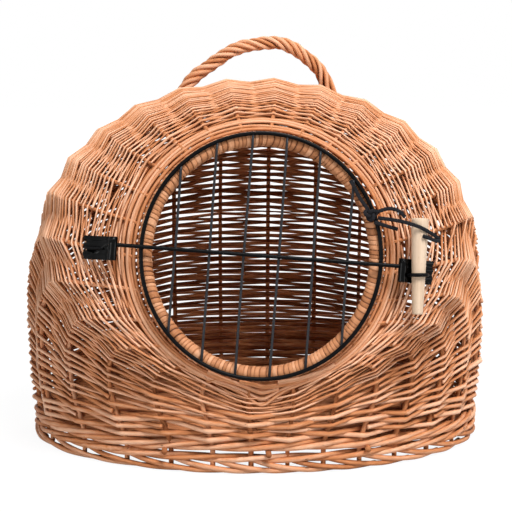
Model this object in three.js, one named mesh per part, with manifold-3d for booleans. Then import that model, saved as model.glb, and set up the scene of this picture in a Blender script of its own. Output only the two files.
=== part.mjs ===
// Willow cat basket: a woven dome on a plaited foot, with a wire door, a rope handle and a peg latch.
// Millimetres, +Z up, the doorway faces -Y, the origin is under the middle of the whole object.
import * as THREE from 'three';
import { mergeVertices } from 'three/addons/utils/BufferGeometryUtils.js';
import Module from 'manifold-3d';

const wasm = await Module();
wasm.setup();

// Weave
const fitGap = 0.3; // between pieces that touch
const stakeCount = 27;
const stakeRadius = 2.5;
const stakeStart = 5; // degrees, from the right side to the first stake
const stakeDrift = 8; // degrees, how far the hand-set stakes stray between the two angles below
const driftFrom = 165;
const driftTo = 340;
const stakeGather = 9.8; // degrees, how far the front stakes close up at the foot
const skin = 3.1; // weavers over the outside of a stake
const valleySkin = 3.2; // weavers midway between two stakes
const ridgeHalf = 3.2; // half width of the ridge over a stake
const weaveRelief = 2.3; // how far a ridge falls back where the weavers go behind its stake
const wallSteps = 12;
const coursesPerStep = 3; // courses of weavers, each standing for several rods
const fullCourse = 8; // courses at least this high have the whole relief

// Body of the basket, measured on the middle of the weave
const floorHeight = 28;
const floorHalfWidth = 238;
const floorHalfDepth = 198.5;
const bellyHalfWidth = 245;
const bellyBack = 213;
const bellyHeight = 112;
const crownHeight = 388;
const crownBack = -50;
const frontBulge = 3;

// Doorway rim
const rimRadius = 118;
const rimOval = 1.6; // how much further the rim reaches up and down than sideways
const rimThickness = 16;
const rimHeight = 222;
const rimFront = 180;
const doorLean = THREE.MathUtils.degToRad(11);
const rimArrival = THREE.MathUtils.degToRad(15); // how far behind the rim's plane the wall meets it
const rimSeatGap = 0.7; // wall's edge to the rim

// Foot and base
const borderWidth = 14;
const borderHeight = 10.5;
const waleThickness = 4.5;
const waleHeight = 7;
const waleLift = 1.5; // daylight between border and wale
const stickRadius = 2.9;
const crossStickX = [-99, 7, 110];
const crossStickProud = 7;
const longStickY = [-45, 45];
const matThickness = 6;
const matRib = 9; // one rib of the mat stands for a few rods side by side
const matGroove = 1.2;

// Handle
const handleRadius = 7.5;
const handleTop = 434;
const handleBack = 15;

// Wire door
const doorRoll = THREE.MathUtils.degToRad(4.6); // hangs a little out of true
const ringRadius = 121.4;
const ringOval = 3;
const ringWire = 2.1;
const barWire = 1.4;
const barCount = 6;
const barSpacing = 35;
const rodWire = 2;
const rodLeft = -150;
const rodRight = 143.5;
const hingeLeg = 14;
const latchLeg = 16;
const rodBend = 3;

// Straps, staples and peg
const strapThickness = 2.4;
const strapAbove = 8;
const strapBelow = 16;
const hingeDip = THREE.MathUtils.degToRad(10); // how far the hinge strap's tail dips into the weave
const hingeReach = 60;
const tongueReach = 36;
const notchGap = 0.8;
const stapleWire = 1;
const stapleReach = 70; // length of a staple's legs, before the wall cuts them
const tieAlong = 12; // where the binding wire goes through the hinge strap
const tieRise = -4.5;
const pegTopRadius = 9;
const pegTipRadius = 5.6;
const pegLength = 97;
const pegX = 158.7;
const pegRise = -11.7;
const pegTilt = THREE.MathUtils.degToRad(2.1);
const pegGap = 0.4;
const stapleRise = -20.5;

// Lace
const laceWidth = 4;
const laceThickness = 1.2;
const knotX = 110.5;
const knotRise = 41;
const knotHalf = [7.5, 6.5, 3.5]; // across, up and out of the door

const willow = (color) => new THREE.MeshStandardMaterial({ color, roughness: 0.6, metalness: 0 });
const wire = new THREE.MeshStandardMaterial({ color: 0x17181a, roughness: 0.4, metalness: 0.6 });
const leather = new THREE.MeshStandardMaterial({ color: 0x121214, roughness: 0.3, metalness: 0 });
const beech = new THREE.MeshStandardMaterial({ color: 0xe2c39c, roughness: 0.6, metalness: 0 });
const laceBlack = new THREE.MeshStandardMaterial({ color: 0x26272b, roughness: 0.8, metalness: 0 });

const basket = new THREE.Group();

function addMesh(parent, name, geometry, material) {
  const mesh = new THREE.Mesh(geometry, material);
  mesh.name = name;
  parent.add(mesh);
  return mesh;
}

// A closed body from points and triangles, turned so that its faces point out
function closedBody(points, triangles) {
  let volume = 0;
  for (const [a, b, c] of triangles) {
    volume += points[a].dot(new THREE.Vector3().crossVectors(points[b], points[c]));
  }
  const index = triangles.flatMap(([a, b, c]) => (volume < 0 ? [a, c, b] : [a, b, c]));
  const geometry = new THREE.BufferGeometry();
  geometry.setAttribute('position', new THREE.Float32BufferAttribute(points.flatMap((p) => p.toArray()), 3));
  geometry.setIndex(index);
  geometry.computeVertexNormals();
  return geometry;
}

// A flat section carried along a path; ups holds the direction of the section's second axis
function sweep(path, ups, section, closed = false) {
  const count = path.length;
  const sides = section.length;
  const points = [];
  path.forEach((place, i) => {
    const before = path[closed ? (i + count - 1) % count : Math.max(i - 1, 0)];
    const after = path[closed ? (i + 1) % count : Math.min(i + 1, count - 1)];
    const along = new THREE.Vector3().subVectors(after, before).normalize();
    const up = ups[i].clone().addScaledVector(along, -along.dot(ups[i])).normalize();
    const across = new THREE.Vector3().crossVectors(along, up);
    for (const [u, v] of section) {
      points.push(place.clone().addScaledVector(across, u).addScaledVector(up, v));
    }
  });
  const triangles = [];
  const rings = closed ? count : count - 1;
  for (let i = 0; i < rings; i += 1) {
    const here = i * sides;
    const next = ((i + 1) % count) * sides;
    for (let k = 0; k < sides; k += 1) {
      const j = (k + 1) % sides;
      triangles.push([here + k, here + j, next + j], [here + k, next + j, next + k]);
    }
  }
  if (!closed) {
    const last = (count - 1) * sides;
    for (let k = 1; k < sides - 1; k += 1) {
      triangles.push([0, k + 1, k], [last, last + k, last + k + 1]);
    }
  }
  return closedBody(points, triangles);
}

function roundSection(radius, sides) {
  return Array.from({ length: sides }, (_, k) => {
    const turn = (2 * Math.PI * (k + 0.5)) / sides;
    return [radius * Math.cos(turn), radius * Math.sin(turn)];
  });
}

function flatSection(width, thickness) {
  const u = width / 2;
  const v = thickness / 2;
  return [[-u, -v], [u, -v], [u, v], [-u, v]];
}

const sameUp = (path, up) => path.map(() => up);

function toSolid(geometry) {
  const bare = geometry.clone();
  bare.deleteAttribute('normal');
  bare.deleteAttribute('uv');
  const merged = mergeVertices(bare, 1e-4);
  const vertProperties = new Float32Array(merged.attributes.position.array);
  const triVerts = new Uint32Array(merged.index.array);
  const mesh = new wasm.Mesh({ numProp: 3, vertProperties, triVerts });
  mesh.merge();
  return new wasm.Manifold(mesh);
}

function fromSolid(solid) {
  const mesh = solid.getMesh();
  const geometry = new THREE.BufferGeometry();
  geometry.setAttribute('position', new THREE.BufferAttribute(mesh.vertProperties, 3));
  geometry.setIndex(new THREE.BufferAttribute(mesh.triVerts, 1));
  geometry.computeVertexNormals();
  return geometry;
}

function cut(body, ...tools) {
  return fromSolid(tools.reduce((left, tool) => left.subtract(toSolid(tool)), toSolid(body)));
}

// Frame of the doorway: x to the right, y up the leaning plane, z out of the basket
const rimPlane = new THREE.Group();
rimPlane.position.set(0, -rimFront, rimHeight);
rimPlane.rotation.x = Math.PI / 2 - doorLean;
basket.add(rimPlane);
rimPlane.updateMatrix();
const onRim = (x, rise, out) => new THREE.Vector3(x, rise, out).applyMatrix4(rimPlane.matrix);

const door = new THREE.Group();
door.rotation.z = -doorRoll;
rimPlane.add(door);
door.updateMatrix();
const onDoor = (x, rise, out) => new THREE.Vector3(x, rise, out).applyMatrix4(door.matrix);

// Wall: ovals that start level on the floor and fan round until they frame the doorway
const rimTube = rimThickness / 2;
const seat = rimTube + rimSeatGap;
const seatRadius = rimRadius + seat * Math.cos(rimArrival);
const seatDepth = -seat * Math.sin(rimArrival);
const seatHeight = seatRadius + rimOval;
const rimFoot = onRim(0, -seatHeight, seatDepth);
const rimTop = onRim(0, seatHeight, seatDepth);

// For each oval: share of the front's rise, back edge (y, z), side inset from the belly
const ovals = [
  { rise: 0, back: [floorHalfDepth, floorHeight], half: floorHalfWidth },
  { rise: 0.2, back: [bellyBack - 5, floorHeight + 27], half: bellyHalfWidth - 5 },
  { rise: 0.385, back: [bellyBack, bellyHeight], half: bellyHalfWidth - 1 },
  { rise: 0.53, back: [bellyBack - 7, bellyHeight + 86], half: bellyHalfWidth },
  { rise: 0.66, back: [bellyBack - 43, crownHeight - 95], half: bellyHalfWidth - 3 },
  { rise: 0.77, back: [bellyBack - 128, crownHeight - 20.5], half: bellyHalfWidth - 15 },
  { rise: 0.865, back: [crownBack, crownHeight], half: bellyHalfWidth - 29 },
  { rise: 0.94, back: [crownBack - 75, crownHeight - 12], half: bellyHalfWidth - 60 },
  { rise: 1, back: [rimTop.y, rimTop.z], half: seatRadius },
];

const frontOf = (rise) => new THREE.Vector3(
  0,
  THREE.MathUtils.lerp(-floorHalfDepth, rimFoot.y, rise) - frontBulge * Math.sin(Math.PI * rise),
  THREE.MathUtils.lerp(floorHeight, rimFoot.z, rise),
);
const through = (points) => new THREE.CatmullRomCurve3(points, false, 'catmullrom', 0.5);
const frontEdge = through(ovals.map((oval) => frontOf(oval.rise)));
const backEdge = through(ovals.map((oval) => new THREE.Vector3(0, ...oval.back)));
const sideEdge = through(ovals.map((oval) => new THREE.Vector3(oval.half, 0, 0)));

// Point on the middle of the weave: level is 0 at the floor and 1 at the rim,
// turn is the angle round the oval
function wallMiddle(level, turn) {
  const front = frontEdge.getPoint(level);
  const back = backEdge.getPoint(level);
  const middle = new THREE.Vector3().addVectors(front, back).multiplyScalar(0.5);
  const reach = new THREE.Vector3().subVectors(back, front).multiplyScalar(0.5);
  middle.addScaledVector(reach, Math.sin(turn));
  middle.x += sideEdge.getPoint(level).x * Math.cos(turn);
  return middle;
}

const turnStep = 0.01;
const levelStep = 0.004;

function wallNormal(level, turn) {
  const round = wallMiddle(level, turn + turnStep).sub(wallMiddle(level, turn - turnStep));
  const upper = wallMiddle(Math.min(level + levelStep, 1), turn);
  const lower = wallMiddle(Math.max(level - levelStep, 0), turn);
  return round.cross(upper.sub(lower)).normalize();
}

const wallPoint = (level, turn, out) => wallMiddle(level, turn).addScaledVector(wallNormal(level, turn), out);

const levels = Array.from({ length: wallSteps + 1 }, (_, i) => i / wallSteps);
const frontTurn = 270;
const frontReach = 100; // degrees each side of the front that gather at the foot

// Angles of the stakes at one level: even steps, with the drift and the gathering at the foot
function stakeAngles(level) {
  return Array.from({ length: stakeCount }, (_, k) => {
    const even = stakeStart + (360 * k) / stakeCount;
    const along = THREE.MathUtils.clamp((even - driftFrom) / (driftTo - driftFrom), 0, 1);
    const turn = even + stakeDrift * Math.sin(Math.PI * along);
    const aside = THREE.MathUtils.clamp((turn - frontTurn) / frontReach, -1, 1);
    const gather = stakeGather * Math.sin(Math.PI * aside) * (1 - level);
    return THREE.MathUtils.degToRad(turn - gather);
  });
}

// Angles of one level: both edges of each ridge, then the valley beyond it
function ridgeAngles(level) {
  const stakes = stakeAngles(level);
  return stakes.flatMap((turn, k) => {
    const next = k + 1 < stakeCount ? stakes[k + 1] : stakes[0] + 2 * Math.PI;
    const run = wallMiddle(level, turn + turnStep).distanceTo(wallMiddle(level, turn - turnStep));
    const half = (ridgeHalf * 2 * turnStep) / run;
    return [turn - half, turn + half, (turn + next) / 2];
  });
}

const ridgeIn = stakeRadius + fitGap;
const ridgeOut = ridgeIn + skin;
const innerOffsets = [ridgeIn, ridgeIn, -valleySkin / 2];
const courseCount = wallSteps * coursesPerStep;
const courses = Array.from({ length: courseCount + 1 }, (_, i) => i / courseCount);

// Outside of the weave: each course stands out over one stake and falls back behind the next
function outerOffset(course, turn, k) {
  if (k % 3 === 2) return valleySkin / 2;
  const next = Math.min(course + 1, courseCount);
  const height = wallMiddle(courses[next], turn).distanceTo(wallMiddle(courses[next - 1], turn));
  const behind = (course + Math.floor(k / 3)) % 2;
  return ridgeOut - weaveRelief * behind * Math.min(height / fullCourse, 1);
}

const outerRows = (room) => courses.map((level, course) => ridgeAngles(level).map((turn, k) => (
  wallPoint(level, turn, outerOffset(course, turn, k) + room)
)));
const innerRows = () => levels.map((level) => ridgeAngles(level).map((turn, k) => (
  wallPoint(level, turn, innerOffsets[k % 3])
)));

// Triangles of a band between two rows of points that close on themselves
function band(rowA, rowB, count) {
  return Array.from({ length: count }, (_, k) => {
    const j = (k + 1) % count;
    return [[rowA + k, rowA + j, rowB + j], [rowA + k, rowB + j, rowB + k]];
  }).flat();
}

function woveWall() {
  const count = stakeCount * 3;
  const rows = [...outerRows(0), ...innerRows().reverse()];
  const triangles = rows.flatMap((_, i) => band(i * count, ((i + 1) % rows.length) * count, count));
  return closedBody(rows.flat(), triangles);
}

// The filled outside of the wall, a gap larger, that trims what is seated on the weave
function wallOutside() {
  const count = stakeCount * 3;
  const rows = outerRows(fitGap);
  const points = rows.flat();
  const triangles = courses.slice(1).flatMap((_, i) => band(i * count, (i + 1) * count, count));
  for (const row of [0, courseCount]) {
    const hub = points.length;
    const centre = rows[row].reduce((sum, p) => sum.add(p), new THREE.Vector3()).divideScalar(count);
    points.push(centre);
    for (let k = 0; k < count; k += 1) {
      const a = row * count + k;
      const b = row * count + ((k + 1) % count);
      triangles.push(row === 0 ? [hub, b, a] : [hub, a, b]);
    }
  }
  return closedBody(points, triangles);
}

addMesh(basket, 'woven_wall', woveWall(), willow(0xcf8f62));

// Rim: the hoop that finishes the doorway
const rimSides = 8;
const rimSteps = 48;
const outOfDoor = new THREE.Vector3(0, 0, 1);

function hoop(radius, oval, steps, out) {
  return Array.from({ length: steps }, (_, k) => {
    const turn = (2 * Math.PI * k) / steps;
    return new THREE.Vector3(radius * Math.cos(turn), (radius + oval) * Math.sin(turn), out);
  });
}

function rimHoop(tube) {
  const path = hoop(rimRadius, rimOval, rimSteps, 0);
  return sweep(path, sameUp(path, outOfDoor), roundSection(tube, rimSides), true);
}

addMesh(rimPlane, 'door_rim', rimHoop(rimTube), willow(0xd79a6c));
const rimRoom = rimHoop(rimTube + fitGap).applyMatrix4(rimPlane.matrix);

// Stakes: each follows the wall from the foot border to the rim, under its ridge
const stakeFoot = borderHeight + fitGap;
const turnsByLevel = levels.map(stakeAngles);
for (let k = 0; k < stakeCount; k += 1) {
  const path = levels.map((level, i) => wallMiddle(level, turnsByLevel[i][k]));
  const ups = levels.map((level, i) => wallNormal(level, turnsByLevel[i][k]));
  path.unshift(new THREE.Vector3(path[0].x, path[0].y, stakeFoot));
  ups.unshift(ups[0]);
  const name = `stake_${String(k + 1).padStart(2, '0')}`;
  const rod = sweep(path, ups, roundSection(stakeRadius, 6));
  addMesh(basket, name, cut(rod, rimRoom), willow(0xb9784d));
}

// Foot: a border that the stakes stand in and a wale round them
const upward = new THREE.Vector3(0, 0, 1);
const footTurns = stakeAngles(0).flatMap((turn, k, all) => {
  const next = k + 1 < stakeCount ? all[k + 1] : all[0] + 2 * Math.PI;
  return [turn, (turn + next) / 2];
});

function footOval(out, z) {
  return footTurns.map((turn) => {
    const place = wallMiddle(0, turn);
    const away = new THREE.Vector3(
      floorHalfDepth * Math.cos(turn),
      floorHalfWidth * Math.sin(turn),
      0,
    ).normalize();
    return place.addScaledVector(away, out).setZ(z);
  });
}

const borderPath = footOval(0, 0);
const borderSide = borderWidth / 2;
const borderCrown = borderWidth / 4;
const borderShoulder = borderHeight / 4;
const borderSection = [
  [-borderCrown, 0],
  [borderCrown, 0],
  [borderSide, borderShoulder],
  [borderSide, borderHeight - borderShoulder],
  [borderCrown, borderHeight],
  [-borderCrown, borderHeight],
  [-borderSide, borderHeight - borderShoulder],
  [-borderSide, borderShoulder],
];
const borderRing = sweep(borderPath, sameUp(borderPath, upward), borderSection, true);
addMesh(basket, 'foot_border', borderRing, willow(0xc98a5e));

const waleBottom = borderHeight + waleLift;
const waleOut = stakeRadius + fitGap + waleThickness / 2;
const walePath = footOval(waleOut, waleBottom + waleHeight / 2);
const waleSection = flatSection(waleThickness, waleHeight);
addMesh(basket, 'foot_wale', sweep(walePath, sameUp(walePath, upward), waleSection, true), willow(0xcf8f62));

// Base: cross sticks through the foot, a woven mat on them and long sticks over the mat
const crossZ = waleBottom + waleHeight + fitGap + stickRadius;
crossStickX.forEach((x, k) => {
  const share = Math.sqrt(1 - (x / floorHalfWidth) ** 2);
  const length = 2 * (floorHalfDepth * share + waleOut + waleThickness / 2 + crossStickProud);
  const stick = addMesh(
    basket,
    `cross_stick_${k + 1}`,
    new THREE.CylinderGeometry(stickRadius, stickRadius, length, 10),
    willow(0xb9784d),
  );
  stick.position.set(x, 0, crossZ);
});

const matInset = stakeRadius + 2 * fitGap;
const matBottom = crossZ + stickRadius + fitGap;

// Mat: a section with a crest on every rib and a groove between, as long as the oval at each place
function ribbedMat() {
  const halfDepth = floorHalfDepth - matInset;
  const last = Math.floor(halfDepth / (matRib / 2));
  const points = [];
  for (let j = -last; j <= last; j += 1) {
    const y = (j * matRib) / 2;
    const x = (floorHalfWidth - matInset) * Math.sqrt(1 - (y / halfDepth) ** 2);
    const dip = j % 2 === 0 ? 0 : matGroove;
    for (const [side, z] of [[-x, dip], [x, dip], [x, matThickness - dip], [-x, matThickness - dip]]) {
      points.push(new THREE.Vector3(side, y, z));
    }
  }
  const triangles = [];
  for (let j = 0; j < 2 * last; j += 1) {
    triangles.push(...band(4 * j, 4 * (j + 1), 4));
  }
  const end = 8 * last;
  triangles.push([0, 2, 1], [0, 3, 2], [end, end + 1, end + 2], [end, end + 2, end + 3]);
  return closedBody(points, triangles);
}

addMesh(basket, 'base_mat', ribbedMat(), willow(0xa9683f)).position.set(0, 0, matBottom);

longStickY.forEach((y, k) => {
  const share = Math.sqrt(1 - (y / floorHalfDepth) ** 2);
  const length = 2 * (floorHalfWidth * share - 2 * matInset);
  const stick = addMesh(
    basket,
    `long_stick_${k + 1}`,
    new THREE.CylinderGeometry(stickRadius, stickRadius, length, 10),
    willow(0xb9784d),
  );
  stick.rotation.z = Math.PI / 2;
  stick.position.set(0, y, matBottom + matThickness + fitGap + stickRadius);
});

// Handle: an arch over the crown whose feet go into the weave, (x, drop from the top's middle)
const handleMiddle = handleTop - handleRadius;
const handleArch = [
  [-88, -72], [-71, -43], [-49, -24], [-18, -6], [14, 0], [37, -4], [60, -19], [74, -37], [84, -72],
];
const handleCurve = through(handleArch.map(([x, drop]) => (
  new THREE.Vector3(x, handleBack, handleMiddle + drop)
)));
const handleSteps = 22;
const handlePath = handleCurve.getSpacedPoints(handleSteps);
const backward = new THREE.Vector3(0, 1, 0);
const handleRod = sweep(handlePath, sameUp(handlePath, backward), roundSection(handleRadius, 8));
const outside = wallOutside();
addMesh(basket, 'handle', cut(handleRod, outside), willow(0xc98a5e));

// Wire door: ring, bars in the ring, and the rod across them with a leg bent down at each end
const ringOut = rimTube + fitGap + ringWire;
const ringPath = hoop(ringRadius, ringOval, rimSteps, ringOut);
const ringTube = sweep(ringPath, sameUp(ringPath, outOfDoor), roundSection(ringWire, 6), true);
addMesh(door, 'door_ring', ringTube, wire);

for (let k = 0; k < barCount; k += 1) {
  const x = (k - (barCount - 1) / 2) * barSpacing;
  const innerReach = ringRadius - ringWire - fitGap;
  const share = (Math.abs(x) + barWire) / innerReach;
  const length = 2 * (innerReach + ringOval) * Math.sqrt(1 - share ** 2);
  const barRod = new THREE.CylinderGeometry(barWire, barWire, length, 8);
  const bar = addMesh(door, `door_bar_${k + 1}`, barRod, wire);
  bar.position.set(x, 0, ringOut);
}

const rodOut = ringOut + ringWire + fitGap + rodWire;
const bendTurns = [0, 0.25, 0.5, 0.75, 1].map((share) => (share * Math.PI) / 2);
const rodPath = [
  new THREE.Vector3(rodLeft, -hingeLeg, rodOut),
  ...bendTurns.map((turn) => new THREE.Vector3(
    rodLeft + rodBend * (1 - Math.cos(turn)),
    rodBend * (Math.sin(turn) - 1),
    rodOut,
  )),
  ...bendTurns.map((turn) => new THREE.Vector3(
    rodRight - rodBend * (1 - Math.sin(turn)),
    rodBend * (Math.cos(turn) - 1),
    rodOut,
  )),
  new THREE.Vector3(rodRight, -latchLeg, rodOut),
];
addMesh(door, 'door_rod', sweep(rodPath, sameUp(rodPath, outOfDoor), roundSection(rodWire, 8)), wire);

// A strap folded round a leg of the rod, seen along the leg, with its tail running along +x
const foldRadius = rodWire + pegGap + strapThickness;

function foldedStrap(reach) {
  const shape = new THREE.Shape();
  const half = strapThickness / 2;
  shape.moveTo(reach, -half);
  shape.lineTo(foldRadius + strapThickness, -half);
  shape.absarc(0, 0, foldRadius, -Math.PI / 4, Math.PI / 4, true);
  shape.lineTo(foldRadius + strapThickness, half);
  shape.lineTo(reach, half);
  const bore = new THREE.Path();
  bore.absarc(0, 0, rodWire + pegGap, 0, 2 * Math.PI, false);
  shape.holes.push(bore);
  const depth = strapAbove + strapBelow;
  const geometry = new THREE.ExtrudeGeometry(shape, { depth, curveSegments: 10, bevelEnabled: false });
  return geometry.translate(0, 0, -strapBelow);
}

// Lays a strap's own axes on the door: its tail runs along tail, its width along the leg
function layStrap(geometry, x, tail) {
  const up = new THREE.Vector3(0, 1, 0);
  const across = new THREE.Vector3().crossVectors(up, tail);
  const place = new THREE.Matrix4().makeBasis(tail, across, up).setPosition(x, 0, rodOut);
  return geometry.applyMatrix4(place);
}

const notchTop = rodWire + notchGap;
const notchBottom = -rodBend - notchGap;
const notch = new THREE.BoxGeometry(4 * foldRadius, 4 * foldRadius, notchTop - notchBottom);
notch.translate(notchTop - 2 * foldRadius, 0, (notchTop + notchBottom) / 2);

// The weave's outside in the frames of the doorway and of the door
const outsideOfRim = outside.clone().applyMatrix4(rimPlane.matrix.clone().invert());
const outsideOfDoor = outsideOfRim.clone().applyMatrix4(door.matrix.clone().invert());

const dropHalvings = 12;

// The drop at which a strap's tail comes to rest on the weave, found by halving
function restingDrop(strap, x, side) {
  const weave = toSolid(outsideOfDoor);
  let clear = 0;
  let sunk = Math.PI / 2;
  for (let i = 0; i < dropHalvings; i += 1) {
    const drop = (clear + sunk) / 2;
    const tail = new THREE.Vector3(side * Math.cos(drop), 0, -Math.sin(drop));
    const touching = !toSolid(layStrap(strap.clone(), x, tail)).intersect(weave).isEmpty();
    [clear, sunk] = touching ? [clear, drop] : [drop, sunk];
  }
  return clear;
}

const tieSide = 2 * (stapleWire + notchGap);
const tieHole = new THREE.BoxGeometry(tieSide, 4 * foldRadius, tieSide).translate(tieAlong, 0, tieRise);
const hingeStrap = cut(foldedStrap(hingeReach), notch, tieHole);
const hingeDrop = restingDrop(hingeStrap, rodLeft, -1) + hingeDip;
const hingeTail = new THREE.Vector3(-Math.cos(hingeDrop), 0, -Math.sin(hingeDrop));
const hingeBody = layStrap(hingeStrap, rodLeft, hingeTail).applyMatrix4(door.matrix);
const doorTurn = new THREE.Matrix4().extractRotation(door.matrix);
const hingeUp = new THREE.Vector3(-Math.sin(hingeDrop), 0, Math.cos(hingeDrop)).applyMatrix4(doorTurn);
const hingePlace = (along) => onDoor(
  rodLeft + along * hingeTail.x,
  tieRise,
  rodOut + along * hingeTail.z,
);
addMesh(rimPlane, 'hinge_strap', cut(hingeBody, outsideOfRim), leather);
const tongueStrap = cut(foldedStrap(tongueReach), notch);
const latchDrop = restingDrop(tongueStrap, rodRight, 1);

// Peg: a tapered round stick that stands in the staple in front of the strap's tongue
const legAt = onDoor(rodRight, 0, rodOut);
const tongueHalf = strapThickness / 2;
const pegShare = (pegRise + pegLength / 2 - legAt.y - strapAbove) / pegLength;
const pegAtTongue = THREE.MathUtils.lerp(pegTopRadius, pegTipRadius, pegShare);
const pegAway = pegAtTongue + pegGap + tongueHalf - (pegX - legAt.x) * Math.sin(latchDrop);
const pegOut = rodOut + pegAway / Math.cos(latchDrop);
const pegGeometry = new THREE.CylinderGeometry(pegTopRadius, pegTipRadius, pegLength, 16);
const peg = addMesh(rimPlane, 'latch_peg', pegGeometry, beech);
peg.position.set(pegX, pegRise, pegOut);
peg.rotation.z = -pegTilt;

// Latch staple: a wire bow over the peg with its legs in the weave
const stapleShare = (pegRise + pegLength / 2 - stapleRise) / pegLength;
const pegAtStaple = THREE.MathUtils.lerp(pegTopRadius, pegTipRadius, stapleShare);
const pegXAtStaple = pegX + (stapleRise - pegRise) * Math.tan(pegTilt);
const stapleHalf = pegAtStaple + pegGap + stapleWire;
const stapleTurns = [0, 0.2, 0.4, 0.6, 0.8, 1].map((share) => share * Math.PI);
const staplePath = [
  new THREE.Vector3(pegXAtStaple + stapleHalf, stapleRise, pegOut - stapleReach),
  ...stapleTurns.map((turn) => new THREE.Vector3(
    pegXAtStaple + stapleHalf * Math.cos(turn),
    stapleRise,
    pegOut + stapleHalf * Math.sin(turn) / Math.cos(Math.PI / 10),
  )),
  new THREE.Vector3(pegXAtStaple - stapleHalf, stapleRise, pegOut - stapleReach),
];
const alongPeg = new THREE.Vector3(0, 1, 0);
const stapleRod = sweep(staplePath, sameUp(staplePath, alongPeg), roundSection(stapleWire, 6));
addMesh(rimPlane, 'latch_staple', cut(stapleRod, outsideOfRim), wire);

// Latch strap: folded round the rod's right leg, its tongue slotted for the staple
const latchTail = new THREE.Vector3(Math.cos(latchDrop), 0, -Math.sin(latchDrop));
const latchBody = layStrap(tongueStrap, rodRight, latchTail);
const slotHalf = stapleHalf + stapleWire + notchGap;
const slot = new THREE.BoxGeometry(2 * slotHalf, 2 * (stapleWire + notchGap), stapleReach);
slot.translate(pegXAtStaple, stapleRise, pegOut - stapleReach / 2);
slot.applyMatrix4(door.matrix.clone().invert());
addMesh(door, 'latch_strap', cut(latchBody, slot), leather);

// Binding wire: goes through the hinge strap, along its tail and into the weave
const tieOut = strapThickness / 2 + fitGap + stapleWire;
const tieLift = hingeUp.clone().multiplyScalar(tieOut);
const tieStart = hingePlace(tieAlong);
const tiePath = [
  tieStart.clone().addScaledVector(hingeUp, -stapleReach),
  tieStart.clone().add(tieLift),
  hingePlace(hingeReach).add(tieLift),
];
const alongLeg = new THREE.Vector3(0, 1, 0).applyMatrix4(doorTurn);
const tieRod = sweep(tiePath, sameUp(tiePath, alongLeg), roundSection(stapleWire, 6));
addMesh(rimPlane, 'hinge_tie', cut(tieRod, outsideOfRim), wire);

// The origin lies under the middle of the basket, door, latch and handle
basket.updateMatrixWorld(true);
const box = new THREE.Box3().setFromObject(basket, true);
const boxMiddle = box.getCenter(new THREE.Vector3());
basket.position.set(-boxMiddle.x, -boxMiddle.y, -box.min.z);

// Lace: knotted on the door's ring, one strand laid across the peg, (x, rise, out of the rim's plane)
const knotOut = ringOut + ringWire + fitGap;
const laceClear = pegOut + pegTopRadius + pegGap + laceThickness / 2;
const laceLevel = knotOut + laceThickness / 2 + 2;
const laceRoutes = {
  lace_main: [
    [118, 37.5, laceLevel], [132, 35.5, laceLevel + 4], [146, 32, laceClear], [160, 27, laceClear + 1],
    [172, 21, laceClear - 6], [181, 16, laceClear - 18],
  ],
  lace_loop: [
    [117.6, 43.8, laceLevel], [126, 46.5, laceLevel + 1], [133, 46.5, laceLevel + 3],
    [140, 43.5, laceLevel + 4], [145, 38, laceLevel + 4],
  ],
  lace_tail: [
    [114.2, 33.4, laceLevel], [126, 29.5, laceLevel + 1], [138, 26, laceLevel],
  ],
};
const laceSection = flatSection(laceWidth, laceThickness);
for (const [name, route] of Object.entries(laceRoutes)) {
  const path = through(route.map((place) => new THREE.Vector3(...place))).getPoints((route.length - 1) * 2);
  addMesh(rimPlane, name, sweep(path, sameUp(path, outOfDoor), laceSection), laceBlack);
}

const knot = new THREE.SphereGeometry(1, 10, 8).scale(...knotHalf);
addMesh(rimPlane, 'lace_knot', knot, laceBlack).position.set(knotX, knotRise, knotOut + knotHalf[2]);

export default basket;
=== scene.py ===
import bpy
import numpy as np
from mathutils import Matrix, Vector


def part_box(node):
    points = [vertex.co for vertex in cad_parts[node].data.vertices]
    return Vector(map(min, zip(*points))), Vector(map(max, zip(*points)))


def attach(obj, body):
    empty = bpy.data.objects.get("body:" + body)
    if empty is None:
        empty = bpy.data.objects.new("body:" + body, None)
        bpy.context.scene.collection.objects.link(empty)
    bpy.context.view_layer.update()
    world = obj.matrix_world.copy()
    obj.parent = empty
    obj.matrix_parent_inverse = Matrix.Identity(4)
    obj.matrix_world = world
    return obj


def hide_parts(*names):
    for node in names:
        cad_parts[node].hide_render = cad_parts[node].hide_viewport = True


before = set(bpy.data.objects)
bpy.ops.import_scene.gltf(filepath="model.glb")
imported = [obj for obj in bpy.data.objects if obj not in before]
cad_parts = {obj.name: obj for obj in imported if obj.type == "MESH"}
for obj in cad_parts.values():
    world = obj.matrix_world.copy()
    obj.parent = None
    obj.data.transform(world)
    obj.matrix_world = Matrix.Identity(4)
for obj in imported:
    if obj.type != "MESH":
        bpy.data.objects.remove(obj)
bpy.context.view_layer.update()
rng = np.random.default_rng(20)
mm = 0.001
fullTurn = 2 * np.pi
upward = np.array([0, 0, 1.0])
print("frame loaded:", len(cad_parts), "nodes")


def unit(v):  # each vector over its own length
    return v / np.linalg.norm(v, axis=-1, keepdims=True)


def mix(a, b, t):  # a at t 0, b at t 1, straight between
    return a + (b - a) * t


def ease(t):  # 3t^2 - 2t^3 between 0 and 1
    t = np.clip(t, 0, 1)
    return t * t * (3 - 2 * t)


def rising(x, start, length):  # 0 up to the start, eased up to 1 over the length
    return ease((x - start) / length)


def circle(count):  # even angles once round
    return fullTurn * np.arange(count) / count


def varied(spread, *shape):  # 1, give or take a random share
    return 1 + spread * rng.standard_normal(shape)


def steps(points):  # distance from each point of a line to the next
    return np.linalg.norm(np.diff(points, axis=0), axis=-1)


def evenly(points, count):  # count points at equal distances along a line of many points
    run = np.concatenate([[0], np.cumsum(steps(points))])
    want = np.linspace(0, run[-1], count)
    return np.stack([np.interp(want, run, points[:, i]) for i in range(3)], -1)


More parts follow.
